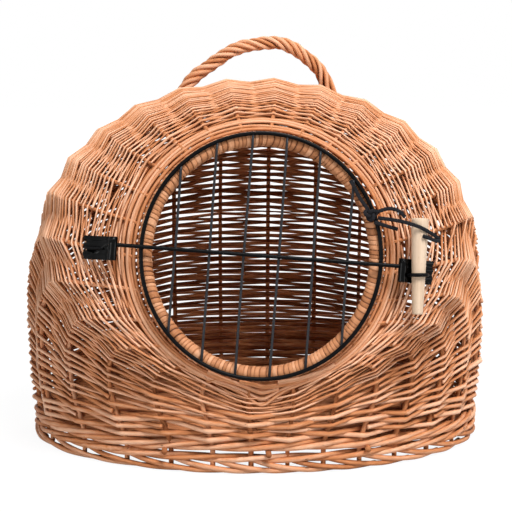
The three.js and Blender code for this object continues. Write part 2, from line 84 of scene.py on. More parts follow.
def through(points, t):
    # uniform Catmull-Rom line through the points, t from 0 to 1, ends carried on straight
    points = np.asarray(points, float)
    last = len(points) - 1
    padded = np.vstack([2 * points[0] - points[1], points, 2 * points[-1] - points[-2]])
    place = np.clip(t, 0, 1) * last
    k = np.minimum(place.astype(int), last - 1)
    f = (place - k)[..., None]
    before, start, end, after = padded[k], padded[k + 1], padded[k + 2], padded[k + 3]
    leave, arrive = (end - before) / 2, (after - start) / 2
    return ((2 * f**3 - 3 * f**2 + 1) * start + (f**3 - 2 * f**2 + f) * leave
            + (3 * f**2 - 2 * f**3) * end + (f**3 - f**2) * arrive)


class Value:
    # one shader socket: + - and * between values add Math nodes
    def __init__(self, tree, socket):
        self.tree, self.socket = tree, socket

    def node(self, kind, settings=None, inputs=None, out=0):
        # any node: its settings first, then the values or links of its sockets
        made = self.tree.nodes.new(kind)
        for key, value in (settings or {}).items():
            if key == "stops":
                ramp = made.color_ramp.elements
                while len(ramp) < len(value):
                    ramp.new(1)
                for element, (place, colour) in zip(ramp, value):
                    element.position, element.color = place, (*colour, 1)
            else:
                setattr(made, key, value)
        for key, value in (inputs or {}).items():
            if isinstance(value, Value):
                self.tree.links.new(value.socket, made.inputs[key])
            else:
                made.inputs[key].default_value = value
        return Value(self.tree, made.outputs[out])

    def calc(self, operation, a, b):  # one Math node
        return self.node("ShaderNodeMath", dict(operation=operation), {0: a, 1: b})

    def __add__(self, other):
        return self.calc("ADD", self, other)

    def __radd__(self, other):
        return self.calc("ADD", other, self)

    def __sub__(self, other):
        return self.calc("SUBTRACT", self, other)

    def __rsub__(self, other):
        return self.calc("SUBTRACT", other, self)

    def __mul__(self, other):
        return self.calc("MULTIPLY", self, other)

    def __rmul__(self, other):
        return self.calc("MULTIPLY", other, self)

    def ramp(self, *stops):  # colour from a value, stops of (place, colour)
        return self.node("ShaderNodeValToRGB", dict(stops=stops), {0: self})

    def between(self, low, high):  # 0 below low, 1 above high, eased
        settings = dict(interpolation_type="SMOOTHSTEP")
        return self.node("ShaderNodeMapRange", settings, {0: self, 1: low, 2: high})

    def over(self, other, share):  # this colour, with share of the other colour on it
        settings = dict(data_type="RGBA")
        return self.node("ShaderNodeMix", settings, {0: share, 6: self, 7: other}, 2)

    def times(self, scale):  # vector times vector
        return self.node("ShaderNodeVectorMath", dict(operation="MULTIPLY"), {0: self, 1: scale})

    def noise(self, scale, detail=2, turn=0):  # fractal noise on this vector, turn picks another pattern
        inputs = {"Vector": self, "Scale": scale, "Detail": detail, "W": turn}
        return self.node("ShaderNodeTexNoise", dict(noise_dimensions="4D"), inputs)


class Finish:
    # a material: its Principled shader and the coordinates that patterns read
    def __init__(self, name, **constant):
        self.material = bpy.data.materials.new(name)
        self.material.use_nodes = True
        self.tree = self.material.node_tree
        self.shader = self.tree.nodes["Principled BSDF"]
        start = Value(self.tree, None)
        self.place = start.node("ShaderNodeTexCoord", out=3)
        self.along = start.node("ShaderNodeUVMap", dict(uv_map="rodMap"))
        self.tone = start.node("ShaderNodeAttribute", dict(attribute_name="tone"), out=2)
        # outer: share of painted light (above 0) and painted shade (below 0) on each point
        self.outer = start.node("ShaderNodeAttribute", dict(attribute_name="outer"), out=2)
        for socket, value in constant.items():
            self.shader.inputs[socket.replace("_", " ")].default_value = value

    def feed(self, **links):  # values into sockets of the shader
        for socket, value in links.items():
            self.tree.links.new(value.socket, self.shader.inputs[socket.replace("_", " ")])

    def done(self, colour, rough, height, strength, distance):
        # colour, roughness and bump into the shader
        inputs = {"Height": height, "Strength": strength, "Distance": distance}
        bump = height.node("ShaderNodeBump", None, inputs)
        self.feed(Base_Color=colour, Roughness=rough, Normal=bump)
        return self.material


willowLook = dict(
    dark=(0.155, 0.036, 0.0085), middle=(0.59, 0.232, 0.094), pale=(0.90, 0.545, 0.36),
    scar=(0.12, 0.04, 0.015, 1), scarShare=0.7,
    streaks=(90, 7, 1), patches=(14, 1.2, 1), specks=(120, 5, 1),  # per metre of rod and per turn round it
    toneShare=0.36, streakShare=0.5, patchShare=0.4, deepen=0.16,
    paintedShading=0.34,  # painted light on the outer side and painted shade on the inner side: how much paler the one is than the other
)


def willow(name, light=0.0):
    # peeled willow: each rod its own tone, streaks along it, painted light on outer sides and painted shade
    # on inner sides, a few dark scars, satin skin
    look = willowLook
    finish = Finish(name, IOR=1.45, Specular_IOR_Level=0.1)
    shift = finish.tone * 60
    streak = finish.along.times(look["streaks"]).noise(1, 3, shift)
    patch = finish.along.times(look["patches"]).noise(1, 2, shift + 11)
    speck = finish.along.times(look["specks"]).noise(1, 1, shift + 23)
    shade = finish.tone * look["toneShare"] + streak * look["streakShare"] + patch * look["patchShare"]
    # painted light and shade: the outer attribute makes outer sides paler, and inner sides, low rows and
    # touching sides darker
    shade = shade - (look["deepen"] - light) + finish.outer * look["paintedShading"]
    colour = shade.ramp((0.05, look["dark"]), (0.45, look["middle"]), (0.9, look["pale"]))
    scars = speck.between(0.66, 0.74) * patch.between(0.45, 0.6)
    colour = colour.over(look["scar"], scars * look["scarShare"])
    return finish.done(colour, 0.6 - streak * 0.22, streak + speck * 0.5, 0.35, 0.4 * mm)


# seam: colour of the painted shade in the seams of the winding
wrapLook = dict(
    seam=(0.08, 0.022, 0.007), dark=(0.40, 0.155, 0.062), middle=(0.62, 0.275, 0.130),
    pale=(0.80, 0.45, 0.27), fibres=(900, 2.0, 1), patches=(60, 1.5, 1),
    toneShare=0.5, fibreShare=0.4, patchShare=0.35, deepen=0.12,
)


def wrapSkin(name):
    # split willow band: flat strips with fibres across the hoop and a soft sheen, painted shade in the seams
    look = wrapLook
    finish = Finish(name, IOR=1.45, Specular_IOR_Level=0.2)
    shift = finish.tone * 45
    fibre = finish.along.times(look["fibres"]).noise(1, 3, shift)
    patch = finish.along.times(look["patches"]).noise(1, 2, shift + 7)
    shade = finish.tone * look["toneShare"] + fibre * look["fibreShare"] + patch * look["patchShare"]
    shade = shade - look["deepen"]
    stops = zip((0, 0.25, 0.55, 0.95), (look["seam"], look["dark"], look["middle"], look["pale"]))
    colour = shade.ramp(*stops)
    return finish.done(colour, 0.6 - fibre * 0.2, fibre, 0.3, 0.3 * mm)


wireLook = dict(lacquer=(0.003, 0.003, 0.0035), bare=(0.03, 0.03, 0.033))


def blackWire(name, grey=1.0, gloss=0.07):
    # lacquered wire: near black, faint orange peel, thin wear to grey
    lacquer = tuple(grey * part for part in wireLook["lacquer"])
    finish = Finish(name, IOR=1.45, Specular_IOR_Level=gloss)
    peel = finish.place.noise(900, 2)
    worn = finish.place.noise(160, 4, 3).between(0.68, 0.8)
    colour = worn.ramp((0, lacquer), (1, wireLook["bare"]))
    return finish.done(colour, 0.26 + peel * 0.14 + worn * 0.1, peel, 0.12, 0.2 * mm)


clothLook = dict(dark=(0.0004, 0.0004, 0.0005), pale=(0.0012, 0.0012, 0.0014), stretch=(1, 1, 0.35))


def blackStrap(name):
    # smooth black leathercloth: fine pebble in the gloss, soft creases, glints on the folds
    finish = Finish(name, IOR=1.45, Specular_IOR_Level=0.11)
    pebble = finish.place.noise(1500, 2)
    crease = finish.place.times(clothLook["stretch"]).noise(170, 3, 5)
    colour = crease.ramp((0.3, clothLook["dark"]), (0.75, clothLook["pale"]))
    return finish.done(colour, 0.06 + pebble * 0.08 + crease * 0.06, crease, 0.3, 1.2 * mm)


beechLook = dict(
    dark=(0.55, 0.38, 0.25), middle=(0.67, 0.495, 0.35), pale=(0.76, 0.595, 0.45),
    fleck=(0.42, 0.26, 0.14, 1),
    grain=(26, 3.0, 1), lines=(9, 22, 1), flecks=(260, 30, 1),  # per metre of peg and per turn round it
)


def beech(name):
    # bare beech: pale, long grain along the peg, short dark flecks
    look = beechLook
    finish = Finish(name, IOR=1.45)
    grain = finish.along.times(look["grain"]).noise(1, 4)
    line = finish.along.times(look["lines"]).noise(1, 3, 4)
    fleck = finish.along.times(look["flecks"]).noise(1, 1, 9).between(0.64, 0.72)
    shade = grain * 0.6 + line * 0.5
    colour = shade.ramp((0.35, look["dark"]), (0.55, look["middle"]), (0.8, look["pale"]))
    colour = colour.over(look["fleck"], fleck * 0.35)
    return finish.done(colour, 0.5 + line * 0.2, line + fleck * 0.4, 0.25, 0.3 * mm)


laceLook = dict(dark=(0.004, 0.004, 0.005), pale=(0.024, 0.024, 0.028), yarns=(1400, 9, 1))


def laceCloth(name):
    # flat braided lace: black chevrons of yarn across the width, matt
    finish = Finish(name, IOR=1.45, Specular_IOR_Level=0.1)
    inputs = {"Vector": finish.along.times(laceLook["yarns"]), "Scale": 1, "Distortion": 0.6}
    yarn = finish.along.node("ShaderNodeTexWave", dict(bands_direction="DIAGONAL"), inputs)
    fuzz = finish.place.noise(1800, 2)
    colour = (yarn * 0.6 + fuzz * 0.5).ramp((0.1, laceLook["dark"]), (0.9, laceLook["pale"]))
    return finish.done(colour, 0.62 + fuzz * 0.25, yarn + fuzz * 0.4, 0.5, 0.3 * mm)


def makeMesh(name, points, quads, uv, looks):
    # whole arrays into one mesh: points, quads of point numbers, places on the rod, tone and outer share,
    # the share of painted light and shade
    mesh = bpy.data.meshes.new(name)
    mesh.vertices.add(len(points))
    mesh.vertices.foreach_set("co", points.astype(np.float32).ravel())
    mesh.loops.add(quads.size)
    mesh.loops.foreach_set("vertex_index", quads.astype(np.int32).ravel())
    mesh.polygons.add(len(quads))
    mesh.polygons.foreach_set("loop_start", np.arange(0, quads.size, 4, dtype=np.int32))
    mesh.polygons.foreach_set("use_smooth", np.ones(len(quads), bool))
    mesh.uv_layers.new(name="rodMap").uv.foreach_set("vector", uv.astype(np.float32).ravel())
    for layer, values in zip(("tone", "outer"), np.reshape(looks, (len(points), -1)).T):
        mesh.attributes.new(layer, "FLOAT", "POINT").data.foreach_set("value", values.astype(np.float32))
    mesh.update(calc_edges=True)
    mesh.validate()
    piece = bpy.data.objects.new(name, mesh)
    bpy.context.scene.collection.objects.link(piece)
    return piece


def settle(piece, body, slot, material, *nodes):
    # a finished piece: its finish and body, and the CAD nodes that it stands for hidden; slot is not used
    piece.data.materials.append(material)
    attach(piece, body)
    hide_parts(*nodes)
    print("  piece", piece.name, len(piece.data.polygons), "faces")
    return piece


def bandQuads(rings, sides):  # faces between neighbouring rings of points, closed round each ring
    number = np.arange(rings * sides).reshape(rings, sides)
    turned = np.roll(number, -1, 1)
    return np.stack([number[:-1], turned[:-1], turned[1:], number[1:]], -1).reshape(-1, 4)


def cornerMap(u, uEnd, v, vEnd):  # map of such faces: first corner at (u, v), opposite corner at both ends
    corners = [np.stack(pair, -1) for pair in ((u, v), (u, vEnd), (uEnd, vEnd), (uEnd, v))]
    return np.stack(corners, 2).reshape(-1, 4, 2)


rodShade = dict(rise=1.9, fall=0.9, darkest=-0.6)  # painted light on the outer side of each rod, painted shade where rods touch
mapLap = 8.0  # metres of rod after which its map starts again


def tubeArrays(path, lift, radius, sides=6, closed=False, alive=None, flat=1.0, tone=None, outer=None,
               swing=0.5):
    # rows of tubes: each ring point is path + radius (cos f lift + flat sin f side), side = along x lift
    rows, count = path.shape[:2]
    if closed:
        ahead = np.roll(path, -1, 1) - np.roll(path, 1, 1)
    else:
        ahead = np.gradient(path, axis=1)
    ahead = unit(ahead)
    side = unit(np.cross(ahead, lift))
    lift = np.cross(side, ahead)
    f = circle(sides)
    ring = np.cos(f)[:, None] * lift[:, :, None] + flat * np.sin(f)[:, None] * side[:, :, None]
    points = path[:, :, None] + np.broadcast_to(radius, (rows, count))[:, :, None, None] * ring
    if alive is None:
        alive = np.ones((rows, count), bool)
    nextAlive, beforeAlive = np.roll(alive, -1, 1), np.roll(alive, 1, 1)
    if not closed:
        nextAlive[:, -1] = False
        beforeAlive[:, 0] = False
    number = np.arange(rows * count).reshape(rows, count)
    spans = alive & nextAlive
    here, there = number[spans][:, None] * sides, np.roll(number, -1, 1)[spans][:, None] * sides
    j = np.arange(sides)
    k = (j + 1) % sides
    quads = np.stack([here + j, here + k, there + k, there + j], -1).reshape(-1, 4)
    step = np.linalg.norm(np.diff(path, axis=1, append=path[:, :1]), axis=-1)
    run = np.cumsum(step, axis=1)
    start = (run - step)[spans]
    lap = mapLap * np.floor(start / mapLap)
    grid = np.ones((len(start), sides))
    u, uEnd = (start - lap)[:, None] * grid, (run[spans] - lap)[:, None] * grid
    uv = cornerMap(u, uEnd, j / sides * grid, (j + 1) / sides * grid)
    fan = np.array([[0, 2 * i + 1, 2 * i + 2, 2 * i + 3] for i in range(sides // 2 - 1)])
    heads, ends = number[alive & ~beforeAlive], number[alive & ~nextAlive]
    caps = np.concatenate([(heads[:, None, None] * sides + fan[:, ::-1]).reshape(-1, 4),
                           (ends[:, None, None] * sides + fan).reshape(-1, 4)])
    capUv = np.zeros((len(caps), 4, 2))
    if tone is None:
        tone = rng.random((rows, 1))
    tone = np.repeat(np.broadcast_to(tone, (rows, count)).ravel(), sides)
    if outer is None:
        outer = 0 * tone
    else:
        # painted shade on each rod's sides where it touches the next, painted light on its outer side, swing
        # times as strong
        facing = np.maximum(rodShade["rise"] * np.cos(f) - rodShade["fall"], rodShade["darkest"])
        outer = np.broadcast_to(outer, (rows, count))[..., None] + np.asarray(swing)[..., None] * facing
    looks = np.stack([tone, outer.ravel()], -1)
    return points.reshape(-1, 3), np.concatenate([quads, caps]), np.concatenate([uv, capUv]), looks


def joined(*parts):  # several sets of arrays as one, point numbers moved up
    points, quads, uv, looks = zip(*parts)
    start = np.cumsum([0] + [len(p) for p in points[:-1]])
    quads = [q + s for q, s in zip(quads, start)]
    return [np.concatenate(arrays) for arrays in (points, quads, uv, looks)]


def tubePiece(name, path, lift, radius, **how):
    # rows of tubes as one piece, without the points that no face uses
    points, quads, uv, looks = tubeArrays(path, lift, radius, **how)
    keep = np.zeros(len(points), bool)
    keep[quads.ravel()] = True
    renumber = np.cumsum(keep) - 1
    return makeMesh(name, points[keep], renumber[quads], uv, looks[keep])


# doorway frame: x to the right, rise up the leaning plane, out of the basket
doorway = dict(
    front=180 * mm, height=222 * mm, lean=11.0, roll=-4.6,
    radius=118 * mm, oval=1.6 * mm, tube=8 * mm, arrive=15.0, seat=8.7 * mm,
)
low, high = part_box("door_rim")
rimMiddle = np.array((low + high) / 2)
basketMiddle = rimMiddle + np.array([0, doorway["front"], -doorway["height"]])
leanAngle, rollAngle = np.radians(doorway["lean"]), np.radians(doorway["roll"])
riseAxis = np.array([0, np.sin(leanAngle), np.cos(leanAngle)])
outAxis = np.array([0, -np.cos(leanAngle), np.sin(leanAngle)])
sideAxis = np.array([1.0, 0, 0])
doorSide = np.cos(rollAngle) * sideAxis + np.sin(rollAngle) * riseAxis
doorRise = np.cos(rollAngle) * riseAxis - np.sin(rollAngle) * sideAxis


def onPlane(x, rise, out, side, up):  # rim's middle + x side + rise up + out of the plane
    x, rise, out = np.broadcast_arrays(x, rise, out)
    return rimMiddle + x[..., None] * side + rise[..., None] * up + out[..., None] * outAxis


def onRim(x, rise, out):  # point of the doorway's plane
    return onPlane(x, rise, out, sideAxis, riseAxis)


def onDoor(x, rise, out):  # point of the door's plane, which hangs a little out of true
    return onPlane(x, rise, out, doorSide, doorRise)


# ovals of the wall, floor to rim: share of the front's rise, back edge (y, z), half width
wallShape = dict(
    rise=(0, 0.2, 0.385, 0.53, 0.66, 0.77, 0.865, 0.94, 1),
    back=((198.5, 28), (208, 55), (213, 112), (206, 198), (170, 293), (85, 367.5), (-50, 388), (-125, 376)),
    half=(238, 240, 244, 245, 242, 230, 216, 185),
    bulge=3 * mm,
    probeLevel=0.004, probeTurn=0.01,  # how far off the points are that give a direction
    edge=0.03,  # level in which the wall's edges are measured
)


def ovalTable():
    # one row per oval: front y and z, back y and z, half width, the last one on the rim's seat
    arrive = np.radians(doorway["arrive"])
    seatRadius = doorway["radius"] + doorway["seat"] * np.cos(arrive)
    depth = -doorway["seat"] * np.sin(arrive)
    rimFoot = onRim(0, -seatRadius - doorway["oval"], depth)
    rimTop = onRim(0, seatRadius + doorway["oval"], depth)
    rise = np.array(wallShape["rise"])
    back = np.vstack([np.array(wallShape["back"]) * mm + basketMiddle[1:], rimTop[1:]])
    half = np.append(np.array(wallShape["half"]) * mm, seatRadius)
    floorFront = np.array([2 * basketMiddle[1] - back[0, 0], back[0, 1]])
    front = mix(floorFront, rimFoot[1:], rise[:, None])
    front[:, 0] -= wallShape["bulge"] * np.sin(np.pi * rise)
    return np.column_stack([front, back, half])


ovals = ovalTable()


def wallMiddle(level, turn):
    # middle of the weave: oval's centre + sin(turn) of its reach + cos(turn) of its half width
    level, turn = np.broadcast_arrays(level, turn)
    frontY, frontZ, backY, backZ, half = np.moveaxis(through(ovals, level), -1, 0)
    sine = np.sin(turn)
    y = (frontY + backY) / 2 + sine * (backY - frontY) / 2
    z = (frontZ + backZ) / 2 + sine * (backZ - frontZ) / 2
    return np.stack([basketMiddle[0] + half * np.cos(turn), y, z], -1)


def wallUp(level, turn):  # direction up the wall
    above = np.minimum(level + wallShape["probeLevel"], 1)
    below = np.maximum(level - wallShape["probeLevel"], 0)
    return unit(wallMiddle(above, turn) - wallMiddle(below, turn))


def wallOut(level, turn):  # outward direction: round the oval x up the wall
    probe = wallShape["probeTurn"]
    around = wallMiddle(level, turn + probe) - wallMiddle(level, turn - probe)
    return unit(np.cross(around, wallUp(level, turn)))


def wallClimb(level, turn):  # metres up the wall per level, over the edge that starts at a level
    across = wallMiddle(level + wallShape["edge"], turn) - wallMiddle(level, turn)
    return np.linalg.norm(across, axis=-1) / wallShape["edge"]


stakeShape = dict(
    count=27, start=5.0, drift=8.0, driftFrom=165.0, driftTo=340.0,  # degrees round the oval
    gather=9.8, front=270.0, frontReach=100.0,  # how the front stakes close up at the foot
    foot=2.6 * mm, tip=2.1 * mm, spread=0.06,  # radii and how they vary
    below=(6, 13, 20),  # heights in the foot, in mm
)


def stakeTurns(level):
    # angle of each stake at a level: even steps + drift sin - gather sin (1 - level), one column per stake
    look = stakeShape
    even = look["start"] + 360 * np.arange(look["count"]) / look["count"]
    along = np.clip((even - look["driftFrom"]) / (look["driftTo"] - look["driftFrom"]), 0, 1)
    turn = even + look["drift"] * np.sin(np.pi * along)
    aside = np.clip((turn - look["front"]) / look["frontReach"], -1, 1)
    return np.radians(turn - look["gather"] * np.sin(np.pi * aside) * (1 - level))


weave = dict(
    rows=200,  # weavers at the back
    backPitch=3.35 * mm, sidePitch=3.2 * mm, frontPitch=3.3 * mm,  # spacing of the rows, on average
    lowBack=1.5, lowSide=1.3, lowFront=1.75, crown=0.82,  # lower and crown rows against upper rows
    mostRows=1.2, fadeOut=0.04, faintest=0.12,  # how rows drop out where the room is short
    fill=1.0, backFill=0.95, slim=0.88, snug=0.25,  # rod per spacing: sides, back, above, foot
    shortRod=9, longRod=15, butt=1.1, taper=0.2,  # rods in stakes, and their thickness along them
    spread=0.08, stray=0.06, reachSpread=0.05,  # how thickness, spacing and reach vary
    contrast=0.65, crownContrast=0.3, frontContrast=0.2, lowShade=0.2,  # painted light on outer sides against painted shade on inner sides, lower rows painted darker
    thinnest=0.7 * mm, thickest=2.9 * mm,  # radii
    foot=7 * mm, top=16 * mm,  # room for the bands at both edges
    spots=(0, 0.06, 0.28, 0.5, 0.72, 0.94), wobble=0.25 * mm,
    lowEnd=(0.22, 0.34), lowFade=(0.4, 0.3),  # share of the rows, at the sides and the back
    crownZone=(0.76, 0.14), upperZone=(0.4, 0.3),  # zones: where a change starts and how far it takes
    frontZone=(0.72, 0.24), sweepZone=(0.8, 0.15),  # the same, by how far round to the front
    crownSide=(0.5, 0.4), frontSide=(0.5, 0.3),  # the same, round to the back and the front
    snugHeight=(20, 40), snugFade=20,  # mm, at the sides and the back
)
stakeCount = stakeShape["count"]
lineLevel = np.linspace(0, 1, 241)
stakeLines = wallMiddle(lineLevel[:, None], stakeTurns(lineLevel[:, None]))
stakeRun = np.concatenate([np.zeros((1, stakeCount)), np.cumsum(steps(stakeLines), axis=0)])


def levelAt(distance):  # level of points at a distance up each stake, one column per stake
    columns = [np.interp(distance[:, k], stakeRun[:, k], lineLevel) for k in range(stakeCount)]
    return np.stack(columns, 1)


def stackRows():
    # rows of weavers by distance up each stake: they share the room, and pairs drop out where it is short
    look, rows = weave, weave["rows"]
    sine = np.sin(stakeTurns(0.5))
    backness, frontness = np.clip(sine, 0, 1), rising(-sine, *look["frontZone"])
    room = stakeRun[-1] - look["foot"] - look["top"]
    share = np.arange(rows)[:, None] / (rows - 1)
    lower = 1 - rising(share, mix(*look["lowEnd"], backness), mix(*look["lowFade"], backness))
    ratio = mix(mix(look["lowSide"], look["lowBack"], backness), look["lowFront"], frontness)
    pitch = mix(mix(look["sidePitch"], look["backPitch"], backness), look["frontPitch"], frontness)
    wanted = np.minimum(room / pitch / rows, look["mostRows"])
    pair = np.arange(rows) // 2
    bits = range(int(pair[-1]).bit_length())
    order = sum(((pair >> bit) & 1) / 2.0 ** (bit + 1) for bit in bits)  # drops spread evenly up the wall
    fade = np.clip((wanted[None] - order[:, None]) / look["fadeOut"], 0, 1)
    fade = fade * (fade > look["faintest"])
    crown = rising(share, *look["crownZone"]) * ease(2 * backness)
    weight = mix(1, ratio, lower) * mix(1, look["crown"], crown) * fade
    weight = weight * varied(look["spread"], rows, 1)
    pitchHere = room * weight / weight.sum(0)
    distance = look["foot"] + np.cumsum(pitchHere, 0) - pitchHere / 2
    distance += pitchHere * look["stray"] * rng.standard_normal((rows, stakeCount))
    return distance, pitchHere, fade > 0


def rodLengths(count):
    # rods end to end along a line of stakes: for each place its rod's tone, thickness and share of the way
    shortest = weave["shortRod"]
    lengths = rng.integers(shortest, weave["longRod"], count // shortest + 1)
    ends = np.cumsum(lengths)
    number = np.searchsorted(ends, np.arange(count), side="right")
    share = (np.arange(count) - (ends - lengths)[number]) / lengths[number]
    size = varied(weave["spread"], len(lengths))
    return rng.random(len(lengths))[number], size[number], share


def sweepIn(line, lift, spots):
    # bow of a smooth line through the points from its straight spans, the part in the wall at the front
    span = line[1:] - line[:-1]
    before = np.concatenate([span[:1], span[:-1]])
    after = np.concatenate([span[1:], span[-1:]])
    leave, arrive = (before - span)[:, None] / 2, (after - span)[:, None] / 2
    bow = (spots**3 - 2 * spots**2 + spots) * leave + (spots**3 - spots**2) * arrive
    front = rising(-lift[..., 1:2], *weave["sweepZone"])
    return front * (bow - (bow * lift).sum(-1, keepdims=True) * lift)


def makeWeave(finish):
    # one long spiral of weavers: over a stake, under the next, straight between, cut where a row drops out
    look = weave
    distance, pitch, alive = stackRows()
    level = levelAt(distance)
    turn = stakeTurns(level)
    middle, out = wallMiddle(level, turn).reshape(-1, 3), wallOut(level, turn).reshape(-1, 3)
    tone, size, share = rodLengths(level.size)
    sine = np.sin(turn.ravel())
    atBack = ease(2 * sine)
    snugUpTo = mix(*look["snugHeight"], atBack) * mm
    snug = 1 + look["snug"] * (1 - rising(distance.ravel(), snugUpTo, look["snugFade"] * mm))
    upper = rising(np.repeat(np.linspace(0, 1, look["rows"]), stakeCount), *look["upperZone"])
    fill = mix(mix(look["fill"], look["backFill"], atBack), look["slim"], upper)
    radius = pitch.ravel() * fill / 2 * snug * size * (look["butt"] - look["taper"] * share)
    radius = np.clip(radius, look["thinnest"], look["thickest"])
    rowNumber, stakeNumber = np.indices(level.shape)
    over = (1 - 2 * ((rowNumber + stakeNumber) % 2)).ravel()
    stakeRadius = mix(stakeShape["foot"], stakeShape["tip"], level).ravel()
    reach = over * (stakeRadius + radius) * varied(look["reachSpread"], level.size)
    place = middle + reach[:, None] * out
    spots = np.array(look["spots"])[:, None]
    lift = unit(mix(out[:-1, None], out[1:, None], spots))
    path = mix(place[:-1, None], place[1:, None], spots) + sweepIn(middle, lift, spots)
    path += look["wobble"] * np.sin(np.pi * spots) * rng.standard_normal((len(path), 1, 3))
    path, lift = path.reshape(1, -1, 3), lift.reshape(1, -1, 3)
    alive = alive.ravel()
    spans = alive[:-1] & alive[1:]
    living = np.repeat(spans[:, None], len(spots), 1)
    living[1:, 0] |= spans[:-1]
    # painted light and shade: rods over a stake paler, rods under it darker, less at the crown and front,
    # lower rows darker still
    swing = mix(look["contrast"], look["crownContrast"], upper * rising(sine, *look["crownSide"]))
    raised = over * mix(swing, look["frontContrast"], rising(-sine, *look["frontSide"]))
    raised = raised - look["lowShade"] * (1 - upper)
    thick, outer, swing = (mix(part[:-1, None], part[1:, None], spots[:, 0]).reshape(1, -1)
                           for part in (radius, raised, swing))
    tone = np.repeat(tone[:-1], len(spots))[None]
    along = dict(alive=living.reshape(1, -1), tone=tone, outer=outer, swing=swing)
    names = ("weaversLower", "weaversBelly", "weaversShoulder", "weaversCrown")
    cuts = np.linspace(0, look["rows"], len(names) + 1).astype(int) * stakeCount * len(spots)
    for name, a, b in zip(names, cuts[:-1], cuts[1:] + 1):
        how = {key: values[:, a:b] for key, values in along.items()}
        piece = tubePiece(name, path[:, a:b], lift[:, a:b], thick[:, a:b], sides=8, **how)
        settle(piece, "basket", "weavers", finish, "woven_wall")


ropeLook = dict(stray=0.25, swell=0.08, ripple=0.04, shade=0.4, points=480)


def ropeBand(place, away, up, look):
    # strands laid round a closed line: each is out by cos and up by sin, laps times round
    strands, turn = look["strands"], circle(len(place))
    start = np.arange(strands)[:, None]
    f = look["laps"] * turn + circle(strands)[:, None] + ropeLook["stray"] * np.sin(5 * turn + 2 * start)
    outward, above = look["reachOut"] * np.cos(f), look["reachUp"] * np.sin(f)
    path = place + outward[..., None] * away + above[..., None] * up
    swell = ropeLook["swell"] * np.sin(3 * turn + 2.1 * start)
    radius = look["rod"] * (1 + swell + ropeLook["ripple"] * np.sin(11 * turn + start))
    tone = mix(rng.random((strands, 1)), rng.random((strands, 1)), 0.5 + 0.5 * np.sin(2 * turn + start))
    # painted light where a strand comes outside, painted shade where it goes in
    outer = ropeLook["shade"] * np.cos(f)
    return tubeArrays(path, away, radius, sides=8, closed=True, tone=tone, outer=outer)


wallBand = dict(
    strands=4, laps=8, reachOut=4.4 * mm, reachUp=3.2 * mm, rod=2.7 * mm, height=1.4 * mm,
    drop=3.2 * mm, front=(0.86, 0.12), back=(0.3, 0.3),  # it hangs down at the sides, not in these zones
)


def makeWale(finish):
    # twisted band of thick rods round the foot of the wall
    look, turn = wallBand, circle(ropeLook["points"])
    sine = np.sin(turn)
    level = look["height"] / wallClimb(0, turn)
    drop = look["drop"] * (1 - rising(-sine, *look["front"])) * (1 - rising(sine, *look["back"]))
    place = wallMiddle(level, turn) - drop[:, None] * upward
    arrays = ropeBand(place, wallOut(level, turn), wallUp(level, turn), look)
    settle(makeMesh("waleRods", *arrays), "basket", "weavers", finish, "woven_wall")


rimHoops = dict(
    rods=4, first=2.6 * mm, close=0.6 * mm, gap=3.8 * mm, open=0.8 * mm, rod=1.85 * mm, swell=0.1,
    sway=0.7 * mm, proud=0.6 * mm, shade=0.15,
    behind=6, depth=3.2 * mm, darker=1.1,  # hoops behind them, painted dark as shade
)
rimButts = dict(
    start=(245, 260, 277), sweep=(30, 27, 24),  # degrees
    rod=2.3 * mm, near=0.8 * mm, far=9 * mm, proud=5.4 * mm, sunk=2.0 * mm, tones=(0.6, 1),
)


def makeHoops(finish):
    # smooth hoops round the doorway, hoops behind them painted dark as shade, and cut butts that lie on them
    look, turn = rimHoops, circle(ropeLook["points"])
    sine = np.sin(turn)
    climb = wallClimb(1 - wallShape["edge"], turn)
    number = np.concatenate([np.arange(look["rods"]), np.arange(look["behind"]) + 0.5])[:, None]
    inner = np.arange(len(number))[:, None] >= look["rods"]
    away = look["first"] - look["close"] * np.maximum(sine, 0) ** 2
    away = away + (look["gap"] + look["open"] * np.maximum(-sine, 0) ** 2) * number
    level = 1 - (away + look["sway"] * np.sin(2 * turn + 2.4 * number)) / climb
    lift = wallOut(level, turn)
    proud = np.where(inner, -look["depth"], look["proud"] * (1 + np.sin(3 * turn + 1.7 * number)))
    path = wallMiddle(level, turn) + proud[..., None] * lift
    radius = look["rod"] * (1 + look["swell"] * np.sin(turn + 2 * number))
    # painted light on the front hoops, painted shade on the hoops behind them
    shade = look["shade"] - look["darker"] * inner
    hoops = tubeArrays(path, lift, radius, sides=10, closed=True, outer=shade)
    look, run = rimButts, np.linspace(0, 1, 40)
    around = np.radians(look["start"])[:, None] + np.radians(look["sweep"])[:, None] * run
    away = mix(look["near"], look["far"], ease(run)) / np.interp(around, turn, climb)
    lift = wallOut(1 - away, around)
    path = wallMiddle(1 - away, around) + mix(look["proud"], look["sunk"], ease(run))[:, None] * lift
    butts = tubeArrays(path, lift, look["rod"], sides=10, tone=rng.uniform(*look["tones"], (len(path), 1)))
    settle(makeMesh("rimRods", *joined(hoops, butts)), "basket", "weavers", finish, "woven_wall")


def makeStakes(finish):
    # uprights: straight up out of the border, then along the middle of the weave to the rim
    look = stakeShape
    below = np.array(look["below"]) * mm
    level = np.concatenate([0 * below, np.linspace(0, 1, 60)])
    turn = stakeTurns(level[:, None]).T
    path = wallMiddle(level[None], turn)
    path[:, :len(below), 2] = below
    radius = mix(look["foot"], look["tip"], np.linspace(0, 1, len(level))[None])
    radius = radius * varied(look["spread"], stakeCount, 1)
    piece = tubePiece("stakes", path, wallOut(level[None], turn), radius, sides=8)
    nodes = ["stake_%02d" % (k + 1) for k in range(stakeCount)]
    settle(piece, "basket", "stakes", finish, *nodes)


# seamShade: how far the tone drops in the seams, painted shade
rimWrap = dict(
    wraps=150, perWrap=10, sides=20, slant=0.5, groove=0.1, sharp=6, lip=0.6 * mm, seamShade=1.1,
    uneven=((0.35, 7, 1), (0.3, 19, 0), (0.2, 31, 2)),  # share of a wrap, times round, phase
    swell=(-0.02, 0.03), tilt=(-0.4, 1),  # least and most
)


